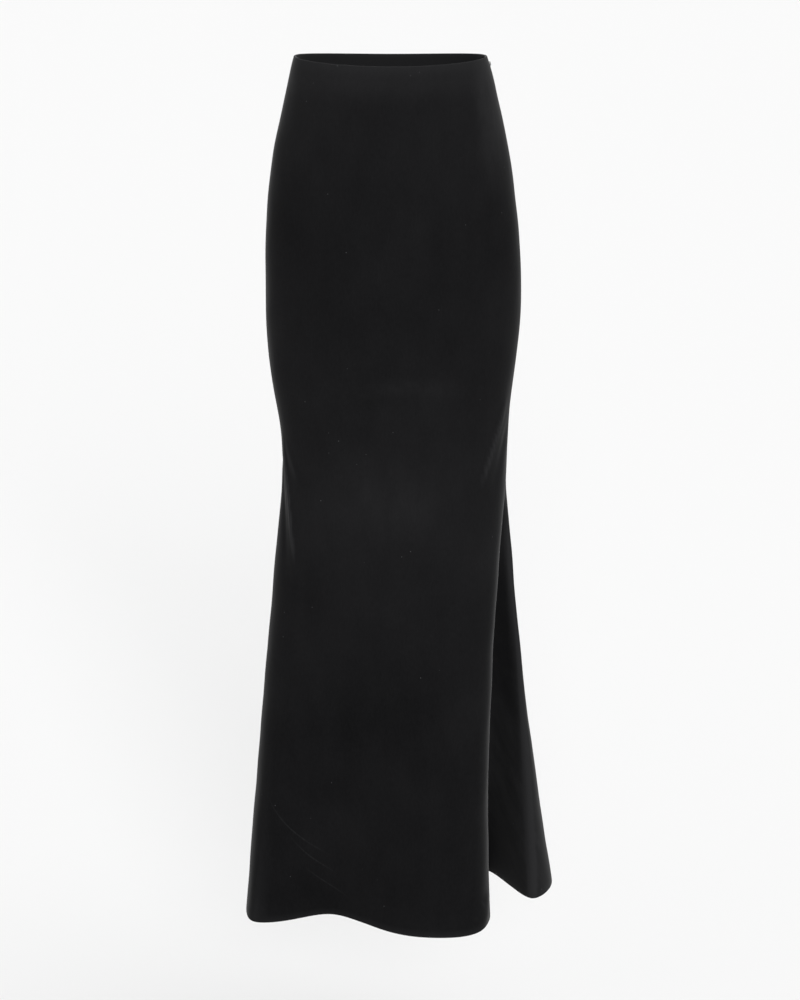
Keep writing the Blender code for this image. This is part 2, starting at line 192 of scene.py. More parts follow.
# The studio's lamps: strength, spread, tilt from straight down and heading, in degrees
Lamp = namedtuple("Lamp", "name strength spread tilt heading")
LAMPS = (
    Lamp("front_bank", 2.0, 20, 74, 5),
    Lamp("overhead_bank", 1.2, 50, 20, 60),
    Lamp("back_bank", 0.35, 80, 55, 170),
)
FLOOR_DROP, FLOOR_RADIUS = 0.3, 45.0
CAMERA_LENS, CAMERA_DISTANCE, CAMERA_ELEVATION = 115.0, 4.0, math.radians(13)
CAMERA_TARGET = (0.00877, 0.0, -0.554)

# One colour of the velvet for each way its pile lies, and the other finishes. The light pile colour is also the one
# painted light and painted highlights are mixed towards, and the turned-in colour is painted lighter for the shaded
# inside of the waist
PILE_DARK, PILE_LEANT_AND_LIT, PILE_TURNED, LINT = "#080809", "#202021", "#1a1a1b", "#6a6a6c"
KNIT_BACK, TAPE_BLACK, COIL_BLACK, LACQUER = "#131314", "#151516", "#19191a", "#121213"
KNIT_LIGHT, TAPE_LIGHT, LACQUER_RUBBED, SHEEN_GREY = "#1d1d1f", "#242426", "#1c1c1d", "#b0b0b0"
FLOOR_WHITE = "#ededed"
WALL_LIGHT, CEILING_LIGHT = 0.95, 0.42


def linear(colour, alpha=1.0):
    """An sRGB hex colour as Blender's linear one."""
    parts = [int(colour[i : i + 2], 16) / 255 for i in (1, 3, 5)]
    return tuple(c / 12.92 if c <= 0.04045 else ((c + 0.055) / 1.055) ** 2.4 for c in parts) + (alpha,)


class SkirtSizes(bpy.types.PropertyGroup):
    cloth: FloatProperty(
        name="Cloth", description="Thickness of one layer of velvet", default=0.0011, unit="LENGTH"
    )
    turning: FloatProperty(
        name="Turning", description="Depth of the cloth turned in at the waist and hem", default=0.028, unit="LENGTH"
    )
    seam_dip: FloatProperty(
        name="Seam dip", description="How far the cloth rolls in at a seam", default=0.0008, unit="LENGTH"
    )
    slack: FloatProperty(
        name="Slack", description="How far the hanging cloth waves in and out", default=0.00035, unit="LENGTH"
    )
    snugness: FloatProperty(
        name="Snugness", description="How far the waist's edge is drawn in", default=0.0022, unit="LENGTH"
    )
    allowance: FloatProperty(
        name="Seam allowance", description="Width of the cloth beyond each side seam", default=0.012, unit="LENGTH"
    )
    tape_width: FloatProperty(name="Tape", description="Width of one zip tape", default=0.0112, unit="LENGTH")
    coil_pitch: FloatProperty(
        name="Coil pitch", description="From one turn of the zip's coil to the next", default=0.0013, unit="LENGTH"
    )


class SkirtColours(bpy.types.PropertyGroup):
    # painted lighter than the face, standing in for light in the shaded inside of the waist
    pile_turned: FloatVectorProperty(
        name="Pile, turned in",
        description="The velvet's colour inside the waist, where its pile lies the other way",
        subtype="COLOR",
        size=4,
        default=linear(PILE_TURNED),
    )
    pile_dark: FloatVectorProperty(
        name="Pile, face on",
        description="The velvet's colour where its pile stands up",
        subtype="COLOR",
        size=4,
        default=linear(PILE_DARK),
    )
    # the velvet's lighter colour, where its pile leans at random and where painted light and painted highlights are
    # mixed towards
    pile_leant_and_lit: FloatVectorProperty(
        name="Pile, laid over",
        description="The velvet's colour where its pile leans",
        subtype="COLOR",
        size=4,
        default=linear(PILE_LEANT_AND_LIT),
    )


# Materials


def add_node(tree, kind, settings=(), links=()):
    """A node with its settings, by attribute or input name, and its links, by input name."""
    made = tree.nodes.new(kind)
    for key, value in dict(settings).items():
        if isinstance(key, str) and hasattr(made, key):
            setattr(made, key, value)
        else:
            made.inputs[key].default_value = value
    for key, output in dict(links).items():
        tree.links.new(output, made.inputs[key])
    return made


def new_material(name):
    """An empty node material and its Principled shader, wired to the output."""
    material = bpy.data.materials.new(name)
    material.use_nodes = True
    tree = material.node_tree
    tree.nodes.clear()
    shader = add_node(tree, "ShaderNodeBsdfPrincipled")
    add_node(tree, "ShaderNodeOutputMaterial", links={"Surface": shader.outputs["BSDF"]})
    return material, tree, shader


def pile_velvet(colours):
    """Knitted polyester velvet, cut pile 1 mm high. The pile swallows light face on and catches it along its tips
    where the cloth turns away, so folds and edges show as soft grey lines, helped by a painted highlight over sharp
    bends. Its colour varies at random, is painted lighter in bands and patches as painted light, and it holds lint."""
    return velvet_of("black_pile_velvet", colours.pile_dark, colours.pile_leant_and_lit, SHEEN)


def turned_velvet(colours):
    """The same velvet turned in at an edge, so that its pile lies the other way up. Its colour is painted lighter,
    standing in for light in the shaded inside of the waist, and its sheen is doubled.
    """
    return velvet_of("black_pile_velvet_against_the_nap", colours.pile_turned, colours.pile_leant_and_lit, 2 * SHEEN)


def velvet_of(name, upright, leaning_and_lit, sheen):
    """Velvet whose pile has one colour where it stands up and one where it leans, the second also the colour that
    painted light and painted highlights are mixed towards.
    """
    material, tree, shader = new_material(name)
    place = add_node(tree, "ShaderNodeTexCoord").outputs["UV"]
    # streaks of the nap are about three times as long down the cloth as across it
    nap_map = add_node(
        tree, "ShaderNodeMapping", {"Scale": (1.0, 0.35, 1.0)}, {"Vector": place}
    ).outputs["Vector"]
    # patches of the nap 22 mm and 140 mm across, and pile tips 2.4 mm across: eight times the real 0.3 mm, to show
    nap = add_node(
        tree, "ShaderNodeTexNoise", {"Scale": 45.0, "Detail": 5.0, "Roughness": 0.65}, {"Vector": nap_map}
    )
    broad = add_node(tree, "ShaderNodeTexNoise", {"Scale": 7.0, "Detail": 2.0}, {"Vector": place})
    tips = add_node(tree, "ShaderNodeTexNoise", {"Scale": 420.0, "Detail": 2.0}, {"Vector": nap_map})
    both = add_node(
        tree,
        "ShaderNodeMath",
        {"operation": "MULTIPLY_ADD", 1: 0.5},
        {0: nap.outputs["Fac"], 2: broad.outputs["Fac"]},
    )
    grain = add_node(
        tree,
        "ShaderNodeMath",
        {"operation": "MULTIPLY_ADD", 1: 0.5},
        {0: tips.outputs["Fac"], 2: both.outputs["Value"]},
    )
    lean = add_node(
        tree,
        "ShaderNodeMapRange",
        {"From Min": 0.5, "From Max": 1.5, "To Min": -0.16, "To Max": 0.26},
        {"Value": grain.outputs["Value"]},
    )
    # painted light: lighter bands down the cloth, most under the waist's edge and round the knee
    down = add_node(tree, "ShaderNodeSeparateXYZ", links={"Vector": place}).outputs["Y"]
    share = add_node(
        tree,
        "ShaderNodeMapRange",
        {"From Min": PAINTED_LIGHT_BANDS[0].down, "From Max": PAINTED_LIGHT_BANDS[-1].down},
        {"Value": down},
    )
    painted_bands = add_node(tree, "ShaderNodeValToRGB", links={"Fac": share.outputs[0]})
    painted_bands.color_ramp.interpolation = "EASE"
    for band in PAINTED_LIGHT_BANDS[1:-1]:
        painted_bands.color_ramp.elements.new(band.down / PAINTED_LIGHT_BANDS[-1].down)
    for k in range(len(PAINTED_LIGHT_BANDS)):
        painted_bands.color_ramp.elements[k].color = (*[PAINTED_LIGHT_BANDS[k].lean] * 3, 1.0)
    # painted highlight: the colour is made lighter over sharp outward bends, so that crests and edges look lit
    bend = add_node(tree, "ShaderNodeAttribute", {"attribute_name": BEND}).outputs["Fac"]
    crest_highlight = add_node(
        tree, "ShaderNodeMath", {"operation": "MULTIPLY_ADD", 1: 1.1}, {0: bend, 2: lean.outputs[0]}
    )
    lean_and_painted_light = add_node(
        tree, "ShaderNodeMath", {"operation": "ADD"}, {0: crest_highlight.outputs["Value"], 1: painted_bands.outputs["Color"]}
    ).outputs["Value"]
    # painted light: each patch lightens the colour, broken up by the nap's noise
    for patch in PAINTED_LIGHT_PATCHES:
        centre = (patch.across, patch.down, 0.0)
        offset = add_node(
            tree, "ShaderNodeVectorMath", {"operation": "SUBTRACT", 1: centre}, {0: place}
        ).outputs["Vector"]
        stretched = add_node(
            tree,
            "ShaderNodeVectorMath",
            {"operation": "MULTIPLY", 1: (1 / patch.width, 1 / patch.height, 0.0)},
            {0: offset},
        ).outputs["Vector"]
        length = add_node(tree, "ShaderNodeVectorMath", {"operation": "LENGTH"}, {0: stretched}).outputs["Value"]
        soft = add_node(
            tree,
            "ShaderNodeMapRange",
            {"interpolation_type": "SMOOTHSTEP", "From Min": 1.0, "From Max": 0.0, "To Max": patch.lean},
            {"Value": length},
        )
        broken = add_node(
            tree, "ShaderNodeMath", {"operation": "MULTIPLY"}, {0: soft.outputs[0], 1: nap.outputs["Fac"]}
        )
        lean_and_painted_light = add_node(
            tree, "ShaderNodeMath", {"operation": "ADD"}, {0: lean_and_painted_light, 1: broken.outputs["Value"]}
        ).outputs["Value"]
    # pressed lines: rings of crushed pile 1.6 mm wide round a point outside the cloth, kept to a part of their turn
    for mark in PRESSED:
        centre = (mark.across, mark.down, 0.0)
        offset = add_node(
            tree, "ShaderNodeVectorMath", {"operation": "SUBTRACT", 1: centre}, {0: place}
        ).outputs["Vector"]
        length = add_node(tree, "ShaderNodeVectorMath", {"operation": "LENGTH"}, {0: offset}).outputs["Value"]
        ring = add_node(
            tree, "ShaderNodeMath", {"operation": "COMPARE", 1: mark.radius, 2: MARK_HALF_WIDTH}, {0: length}
        ).outputs["Value"]
        near = add_node(
            tree, "ShaderNodeVectorMath", {"operation": "DISTANCE", 1: (*mark.middle, 0.0)}, {0: place}
        ).outputs["Value"]
        kept = add_node(
            tree,
            "ShaderNodeMapRange",
            {"interpolation_type": "SMOOTHSTEP", "From Min": mark.reach, "From Max": 0.0, "To Max": MARK_LEAN},
            {"Value": near},
        )
        line = add_node(tree, "ShaderNodeMath", {"operation": "MULTIPLY"}, {0: ring, 1: kept.outputs[0]})
        broken = add_node(
            tree, "ShaderNodeMath", {"operation": "MULTIPLY"}, {0: line.outputs["Value"], 1: tips.outputs["Fac"]}
        )
        lean_and_painted_light = add_node(
            tree, "ShaderNodeMath", {"operation": "ADD"}, {0: lean_and_painted_light, 1: broken.outputs["Value"]}
        ).outputs["Value"]
    # the dark colour mixed towards the light one by the pile's random lean, its pressed lines, and the painted light
    # and highlights
    pile = add_node(
        tree, "ShaderNodeMix", {"data_type": "RGBA", 6: upright, 7: leaning_and_lit}, {0: lean_and_painted_light}
    )
    # lint: a speck under 1 mm across in about one cell in seven, each cell 11 mm wide
    cells = add_node(tree, "ShaderNodeTexVoronoi", {"Scale": 90.0}, {"Vector": place})
    speck = add_node(
        tree,
        "ShaderNodeMapRange",
        {"From Min": 0.055, "From Max": 0.025, "To Max": 0.5},
        {"Value": cells.outputs["Distance"]},
    )
    rare = add_node(
        tree, "ShaderNodeSeparateColor", links={"Color": cells.outputs["Color"]}
    )
    chosen = add_node(
        tree, "ShaderNodeMath", {"operation": "GREATER_THAN", 1: 0.86}, {0: rare.outputs["Red"]}
    )
    lint = add_node(
        tree, "ShaderNodeMath", {"operation": "MULTIPLY"}, {0: speck.outputs[0], 1: chosen.outputs["Value"]}
    )
    colour = add_node(
        tree,
        "ShaderNodeMix",
        {"data_type": "RGBA", 7: linear(LINT)},
        {0: lint.outputs["Value"], 6: pile.outputs[2]},
    )
    tree.links.new(colour.outputs[2], shader.inputs["Base Color"])
    shader.inputs["Roughness"].default_value = 1.0
    shader.inputs["Specular IOR Level"].default_value = 0.08
    shader.inputs["Sheen Weight"].default_value = sheen
    shader.inputs["Sheen Roughness"].default_value = 0.30
    shader.inputs["Sheen Tint"].default_value = linear(SHEEN_GREY)
    # the same tips and patches raise the surface slightly
    heap = add_node(
        tree,
        "ShaderNodeMath",
        {"operation": "MULTIPLY_ADD", 1: 0.4},
        {0: tips.outputs["Fac"], 2: nap.outputs["Fac"]},
    )
    bump = add_node(
        tree, "ShaderNodeBump", {"Strength": 0.35, "Distance": 0.0006}, {"Height": heap.outputs["Value"]}
    )
    tree.links.new(bump.outputs["Normal"], shader.inputs["Normal"])
    return material


def knit_back():
    """The velvet's wrong side: a flat black knit with fine wales down the cloth, duller than the pile."""
    material, tree, shader = new_material("black_knit_back")
    place = add_node(tree, "ShaderNodeTexCoord").outputs["UV"]
    # wales 1.4 mm apart, about twice as wide as real ones of 0.7 mm, so that they show
    wales = add_node(
        tree, "ShaderNodeTexWave", {"bands_direction": "X", "Scale": 224.0, "Distortion": 0.6}, {"Vector": place}
    )
    slubs = add_node(tree, "ShaderNodeTexNoise", {"Scale": 60.0, "Detail": 3.0}, {"Vector": place})
    shade = add_node(
        tree,
        "ShaderNodeMix",
        {"data_type": "RGBA", 6: linear(KNIT_BACK), 7: linear(KNIT_LIGHT)},
        {0: slubs.outputs["Fac"]},
    )
    tree.links.new(shade.outputs[2], shader.inputs["Base Color"])
    shader.inputs["Roughness"].default_value = 0.9
    shader.inputs["Specular IOR Level"].default_value = 0.2
    bump = add_node(
        tree, "ShaderNodeBump", {"Strength": 0.4, "Distance": 0.0003}, {"Height": wales.outputs["Fac"]}
    )
    tree.links.new(bump.outputs["Normal"], shader.inputs["Normal"])
    return material


def woven_tape():
    """Polyester zip tape, woven in a fine herringbone, matt with a slight lustre along the threads."""
    material, tree, shader = new_material("black_woven_zip_tape")
    place = add_node(tree, "ShaderNodeTexCoord").outputs["UV"]
    # bands of the weave 0.9 mm apart, drawn coarser than real threads of about 0.3 mm so that they show
    weft = add_node(
        tree,
        "ShaderNodeTexWave",
        {"bands_direction": "DIAGONAL", "Scale": 700.0, "Distortion": 0.3},
        {"Vector": place},
    )
    shade = add_node(
        tree,
        "ShaderNodeMix",
        {"data_type": "RGBA", 6: linear(TAPE_BLACK), 7: linear(TAPE_LIGHT)},
        {0: weft.outputs["Fac"]},
    )
    tree.links.new(shade.outputs[2], shader.inputs["Base Color"])
    shader.inputs["Roughness"].default_value = 0.75
    bump = add_node(
        tree, "ShaderNodeBump", {"Strength": 0.5, "Distance": 0.0002}, {"Height": weft.outputs["Fac"]}
    )
    tree.links.new(bump.outputs["Normal"], shader.inputs["Normal"])
    return material


def coil_nylon():
    """Nylon monofilament, drawn and wound: smooth and half glossy, with slight marks along it."""
    material, tree, shader = new_material("black_nylon_coil")
    place = add_node(tree, "ShaderNodeTexCoord").outputs["Object"]
    marks = add_node(tree, "ShaderNodeTexNoise", {"Scale": 900.0, "Detail": 2.0}, {"Vector": place})
    gloss = add_node(tree, "ShaderNodeMapRange", {"To Min": 0.25, "To Max": 0.45}, {"Value": marks.outputs["Fac"]})
    tree.links.new(gloss.outputs[0], shader.inputs["Roughness"])
    shader.inputs["Base Color"].default_value = linear(COIL_BLACK)
    shader.inputs["IOR"].default_value = 1.53
    return material


def lacquered_zinc():
    """Die-cast zinc under black lacquer: a smooth coat over a slightly uneven casting, with rubbed patches."""
    material, tree, shader = new_material("black_lacquered_zinc")
    place = add_node(tree, "ShaderNodeTexCoord").outputs["Object"]
    rub = add_node(tree, "ShaderNodeTexNoise", {"Scale": 350.0, "Detail": 3.0}, {"Vector": place})
    shade = add_node(
        tree,
        "ShaderNodeMix",
        {"data_type": "RGBA", 6: linear(LACQUER), 7: linear(LACQUER_RUBBED)},
        {0: rub.outputs["Fac"]},
    )
    gloss = add_node(tree, "ShaderNodeMapRange", {"To Min": 0.40, "To Max": 0.60}, {"Value": rub.outputs["Fac"]})
    bump = add_node(tree, "ShaderNodeBump", {"Strength": 0.2, "Distance": 0.0002}, {"Height": rub.outputs["Fac"]})
    tree.links.new(shade.outputs[2], shader.inputs["Base Color"])
    tree.links.new(gloss.outputs[0], shader.inputs["Roughness"])
    tree.links.new(bump.outputs["Normal"], shader.inputs["Normal"])
    shader.inputs["Coat Weight"].default_value = 0.25
    shader.inputs["Coat Roughness"].default_value = 0.30
    return material


def once(maker, *given):
    """The material that a function makes, made the first time it is asked for."""
    key = "made_by_" + maker.__name__
    found = [material for material in bpy.data.materials if material.get(key)]
    if found:
        return found[0]
    material = maker(*given)
    material[key] = True
    return material


# Shaping cloth


def deselect_all():
    bpy.ops.object.select_all(action="DESELECT")


def select_only(obj):
    deselect_all()
    obj.select_set(True)
    bpy.context.view_layer.objects.active = obj


def copy_of(node, name):
    """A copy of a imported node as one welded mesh."""
    piece = bpy.data.objects.new(name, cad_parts[node].data.copy())
    bpy.context.scene.collection.objects.link(piece)
    piece.data.materials.clear()
    select_only(piece)
    bpy.ops.object.mode_set(mode="EDIT")
    bpy.ops.mesh.select_all(action="SELECT")
    bpy.ops.mesh.remove_doubles(threshold=WELD)
    bpy.ops.mesh.select_all(action="DESELECT")
    bpy.ops.object.mode_set(mode="OBJECT")
    return piece


def net_of(name, rows):
    """An object whose mesh is one sheet of square facets through the rows."""
    count, width = rows.shape[:2]
    faces = [
        (j * width + i, (j + 1) * width + i, (j + 1) * width + i + 1, j * width + i + 1)
        for j in range(count - 1)
        for i in range(width - 1)
    ]
    mesh = bpy.data.meshes.new(name)
    mesh.from_pydata(rows.reshape(-1, 3).tolist(), [], faces)
    piece = bpy.data.objects.new(name, mesh)
    bpy.context.scene.collection.objects.link(piece)
    select_only(piece)
    return piece


def neighbours(pairs, count):
    """Which vertices each vertex is joined to."""
    near = [set() for _ in range(count)]
    for a, b in pairs:
        near[a].add(b)
        near[b].add(a)
    return near


def top_row(mesh, places):
    """The vertices along a wall's upper edge, from the panel's first side edge on."""
    uses = Counter(key for face in mesh.polygons for key in face.edge_keys)
    rim = neighbours([key for key, count in uses.items() if count == 1], len(places))
    loop = [next(i for i, others in enumerate(rim) if others)]
    while True:
        onward = rim[loop[-1]] - set(loop)
        if not onward:
            break
        loop.append(onward.pop())
    round_rim = places[loop]
    into = round_rim - np.roll(round_rim, 1, axis=0)
    out_of = np.roll(into, -1, axis=0)
    lengths = np.linalg.norm(into, axis=1) * np.linalg.norm(out_of, axis=1)
    corners = np.argsort((into * out_of).sum(axis=1) / lengths)[:4]
    first_x = 1 if places[:, 1].mean() < 0 else -1
    upper = sorted(corners, key=lambda k: -round_rim[k][2])[:2]
    start, end = sorted(upper, key=lambda k: first_x * round_rim[k][0])
    last = end + 1 if end > start else end + 1 + len(loop)
    one_way = [loop[k % len(loop)] for k in range(start, last)]
    last = end - 1 if end < start else end - 1 - len(loop)
    other_way = [loop[k % len(loop)] for k in range(start, last, -1)]
    return max(one_way, other_way, key=lambda row: places[row][:, 2].mean())


def rows_of(mesh):
    """The points of a panel's wall as rows from the waist down, each from the panel's first side edge on."""
    near = neighbours([edge.vertices for edge in mesh.edges], len(mesh.vertices))
    places = np.array([tuple(vertex.co) for vertex in mesh.vertices])
    rows = [top_row(mesh, places)]
    done = set(rows[0])
    while len(done) < len(places):
        level = set().union(*(near[i] for i in rows[-1])) - done
        ends = [i for i in level if len(near[i] & level) == 1]
        row = [min(ends, key=lambda i: np.linalg.norm(places[i] - places[rows[-1][0]]))]
        while len(row) < len(level):
            (onward,) = near[row[-1]] & level - set(row)
            row.append(onward)
        rows.append(row)
        done |= level
    return places[np.array(rows)]


def smooth_outer_wall(node):
    """The outer wall of a packed panel as rows of points, its facets rounded twice over."""
    piece = copy_of(node, node + "_wall")
    outermost = max(
        piece.data.polygons, key=lambda face: face.normal.xy.dot(face.center.xy) - abs(face.center.z + 0.3)
    )
    outermost.select = True
    bpy.ops.object.mode_set(mode="EDIT")
    bpy.ops.mesh.select_mode(type="FACE")
    bpy.ops.mesh.faces_select_linked_flat(sharpness=RIM_TURN)
    bpy.ops.mesh.select_all(action="INVERT")
    bpy.ops.mesh.delete(type="FACE")
    bpy.ops.object.mode_set(mode="OBJECT")
    net = net_of(node + "_net", rows_of(piece.data))
    rounding = net.modifiers.new("Rounding", "SUBSURF")
    rounding.levels = rounding.render_levels = ROUNDINGS
    rounding.boundary_smooth = "PRESERVE_CORNERS"
    bpy.ops.object.modifier_apply(modifier=rounding.name)
    rows = rows_of(net.data)
    bpy.data.objects.remove(piece)
    bpy.data.objects.remove(net)
    return rows


def normals_of(grid):
    """The outward direction at each point of a panel's rows."""
    onward = np.gradient(grid, axis=1)
    down = np.gradient(grid, axis=0)
    normal = np.cross(down, onward)
    return normal / np.linalg.norm(normal, axis=2, keepdims=True)


def girth_places(grid):
    """How far each point lies round its row from where the row crosses the middle of the panel."""
    steps = np.linalg.norm(np.diff(grid, axis=1), axis=2)
    along = np.concatenate([np.zeros((len(grid), 1)), np.cumsum(steps, axis=1)], axis=1)
    middles = np.abs(grid[:, :, 0]).argmin(axis=1)
    return along - along[np.arange(len(grid)), middles][:, None]


def leaning_in(grid, reach, depth):
    """The grid drawn in towards its upper edge, as a snug waist is."""
    down = grid[:, :, 2].max() - grid[:, :, 2]
    pull = depth * np.clip(1 - down / reach, 0, 1) ** 2
    return grid - pull[..., None] * normals_of(grid)


def bend_of(rows):
    """How sharply the cloth bends outwards at each point, from 0 for a soft bend to 1 for a sharp one."""
    normals = normals_of(rows)
    sharpest = np.zeros(rows.shape[:2])
    for axis in (0, 1):
        steps = np.diff(rows, axis=axis)
        lengths = np.linalg.norm(steps, axis=2, keepdims=True)
        headings = steps / np.maximum(lengths, 1e-6)
        turn = np.diff(headings, axis=axis) / ((np.delete(lengths, 0, axis) + np.delete(lengths, -1, axis)) / 2)
        inner = (slice(1, -1), slice(None)) if axis == 0 else (slice(None), slice(1, -1))
        curve = -(turn * normals[inner]).sum(axis=2)
        sharpest[inner] = np.maximum(sharpest[inner], curve)
    return np.clip((sharpest - SOFT_BEND) / (SHARP_BEND - SOFT_BEND), 0, 1)


def laid(grid, creases):
    """The rows with each crease raised or sunk along the cloth's own normals."""
    normals, along = normals_of(grid), girth_places(grid)
    heights = grid[:, :, 2]
    level = heights.mean(axis=1)
    rise = np.zeros(heights.shape)
    for crease in creases:
        t = np.linspace(0, 1, CREASE_POINTS)
        x = (1 - t) ** 2 * crease.x1 + 2 * t * (1 - t) * crease.x2 + t**2 * crease.x3
        z = (1 - t) ** 2 * crease.z1 + 2 * t * (1 - t) * crease.z2 + t**2 * crease.z3
        path = []
        for px, pz in zip(x, z):
            row = int(np.abs(level - pz).argmin())
            xs = grid[row, :, 0]
            ends = sorted((int(xs.argmin()), int(xs.argmax())))
            span = slice(ends[0], ends[1] + 1)
            order = np.argsort(xs[span])
            path.append((np.interp(px, xs[span][order], along[row, span][order]), pz))
        path = np.array(path)
        gap = np.full(heights.shape, 9.0)
        reached = np.zeros(heights.shape)
        for k in range(len(path) - 1):
            step = path[k + 1] - path[k]
            offset = np.stack([along - path[k][0], heights - path[k][1]], axis=2)
            share = np.clip((offset @ step) / (step @ step), 0, 1)
            distance = np.linalg.norm(offset - share[..., None] * step, axis=2)
            closer = distance < gap
            gap = np.where(closer, distance, gap)
            reached = np.where(closer, (k + share) / (len(path) - 1), reached)
        fade = np.clip(np.minimum(reached, 1 - reached) / CREASE_FADE, 0, 1)
        rise += crease.rise * np.exp(-((gap / crease.width) ** 2)) * fade * fade * (3 - 2 * fade)
    return grid + rise[..., None] * normals


def finer_rows(grid):
    """The grid with a row more between each two, on the smooth curve through the four nearest."""
    padded = np.concatenate([grid[:1], grid, grid[-1:]])
    between = (9 * (grid[:-1] + grid[1:]) - padded[:-3] - padded[3:]) / 16
    finer = np.empty((2 * len(grid) - 1, *grid.shape[1:]))
    finer[::2], finer[1::2] = grid, between
    return finer


def slack(grid, height):
    """The slight unevenness of hanging cloth: long soft waves that cross, each shorter and lower than the last."""
    along, drop = girth_places(grid), -grid[:, :, 2]
    rise = np.zeros(along.shape)
    for k, (length, lean) in enumerate(SLACK_WAVES):
        across, down = math.cos(lean), math.sin(lean)
        bend = 0.6 * np.sin(2 * math.pi * (along * down - drop * across) / (2.3 * length) + 1.7 * k)
        wave = np.sin(2 * math.pi * (along * across + drop * down) / length + bend + 2.4 * k)
        rise += wave * length / SLACK_WAVES[0].length
    ends = np.clip((drop - drop.min()) / SLACK_STARTS, 0, 1)
    return grid + (height * ends * rise)[..., None] * normals_of(grid)


def with_seam_rolls(grid, dip):
    """Two columns more beside each side edge, and the cloth there rolled in towards the seam."""
    extra = [
        [grid[:, a] + share * (grid[:, b] - grid[:, a]) for share in SEAM_COLUMNS] for a, b in ((0, 1), (-1, -2))
    ]
    columns = [grid[:, 0], *extra[0], *np.moveaxis(grid[:, 1:-1], 1, 0), *extra[1][::-1], grid[:, -1]]
    grid = np.stack(columns, axis=1)
    along = girth_places(grid)
    inside = np.minimum(along - along[:, :1], along[:, -1:] - along)
    return grid - (dip * np.exp(-((inside / ROLL_WIDTH) ** 2)))[..., None] * normals_of(grid)


def turned_in(rows, turning, roll):
    """Rows that carry the cloth over its edge and back inside. The rows given start at that edge."""
    normals = normals_of(rows)
    if (normals[len(normals) // 2, :, :2] * rows[len(rows) // 2, :, :2]).sum() < 0:
        normals = -normals
    outwards = rows[0] - rows[2]
    outwards /= np.linalg.norm(outwards, axis=1, keepdims=True)
    made = []
    for angle in FOLD_ANGLES:
        turn = math.radians(angle)
        edge = rows[0] + outwards * roll * (math.sin(turn) - 1)
        made.append(edge - normals[0] * roll * (1 - math.cos(turn)))
    depth, reached = 0.0, roll
    for k in range(1, len(rows)):
        depth += np.linalg.norm(rows[k] - rows[k - 1], axis=1).mean()
        if reached + TURNED_GAP < depth < turning:
            made.append(rows[k] - normals[k] * 2 * roll)
            reached = depth
    return np.array(made)


def cloth_piece(name, rows, thickness, materials, turned_rows=0):
    """A sheet through the rows, with a thickness inwards and a UV map in metres. Its first rows may be turned in."""
    piece = net_of(name, rows)
    mesh = piece.data
    across = girth_places(rows)
    down = np.concatenate([[0.0], np.cumsum(np.linalg.norm(np.diff(rows, axis=0), axis=2).mean(axis=1))])
    down -= down[turned_rows]
    places = np.stack([across, np.repeat(down[:, None], rows.shape[1], axis=1)], axis=2).reshape(-1, 2)
    corner_points = np.zeros(len(mesh.loops), int)
    mesh.loops.foreach_get("vertex_index", corner_points)
    mesh.uv_layers.new(name="Cloth").data.foreach_set("uv", places[corner_points].ravel())
    for material in materials:
        mesh.materials.append(material)
    # how sharply the cloth bends, kept for the velvet's painted highlight on crests and edges
    mesh.attributes.new(BEND, "FLOAT", "POINT").data.foreach_set("value", bend_of(rows).ravel())
    finish = np.zeros(len(mesh.polygons), int)
    finish[: turned_rows * (rows.shape[1] - 1)] = 1
    mesh.polygons.foreach_set("material_index", finish)
    bpy.ops.object.shade_smooth()
    wall = piece.modifiers.new("Cloth thickness", "SOLIDIFY")
    wall.thickness = thickness
    wall.offset = -1.0
    wall.material_offset = len(materials) - 1
    bpy.ops.object.modifier_apply(modifier=wall.name)
    return piece


def hanging_wall(node, sizes):
    """A panel's outer wall as rows of points, with the slack and creases of hanging cloth."""
    creases = {"front_panel": FRONT_CREASES, "back_panel": BACK_CREASES}[node]
    wall = leaning_in(finer_rows(smooth_outer_wall(node)), WAIST_REACH, sizes.snugness)
    return laid(slack(wall, sizes.slack), creases)


def sew_panel(node, name, sizes, colours):
    """One panel: its hanging wall rolled in at the seams and turned in at the waist and hem."""
    grid = with_seam_rolls(hanging_wall(node, sizes), sizes.seam_dip)
    roll = sizes.cloth + ROLL_ROOM
    waist = turned_in(grid, sizes.turning, roll)[::-1]
    hem = turned_in(grid[::-1], sizes.turning, roll)
    rows = np.concatenate([waist, grid[2:-2], hem])
    finishes = [once(pile_velvet, colours), once(turned_velvet, colours), once(knit_back)]
    piece = cloth_piece(name, rows, sizes.cloth, finishes, len(waist) - 4)
    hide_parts(node)
    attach(piece, BODY)
    return piece


# The zip


def seam_edge(node, first, top, bottom, sizes):
    """The points of a panel's outer wall from one side seam on, between two heights, and the way out of the cloth."""
    grid = hanging_wall(node, sizes)
    level = grid[:, 0 if first else -1, 2]
    grid = grid[(level < top) & (level > bottom)]
    normals = normals_of(grid)
    if not first:
        grid, normals = grid[:, ::-1], normals[:, ::-1]
    return grid, normals


def strip_beside(grid, normals, width, depth):
    """Rows of points from the seam to this far inside the panel, this far under the cloth's face at each row."""
    rows = []
    for j in range(len(grid)):
        steps = np.concatenate([[0.0], np.cumsum(np.linalg.norm(np.diff(grid[j], axis=0), axis=1))])
        places = np.linspace(STRIP_START, width, STRIP_COLUMNS)
        points = np.stack([np.interp(places, steps, grid[j, :, k]) for k in range(3)], axis=1)
        ways = np.stack([np.interp(places, steps, normals[j, :, k]) for k in range(3)], axis=1)
        rows.append(points - ways * depth[j])
    return np.array(rows)


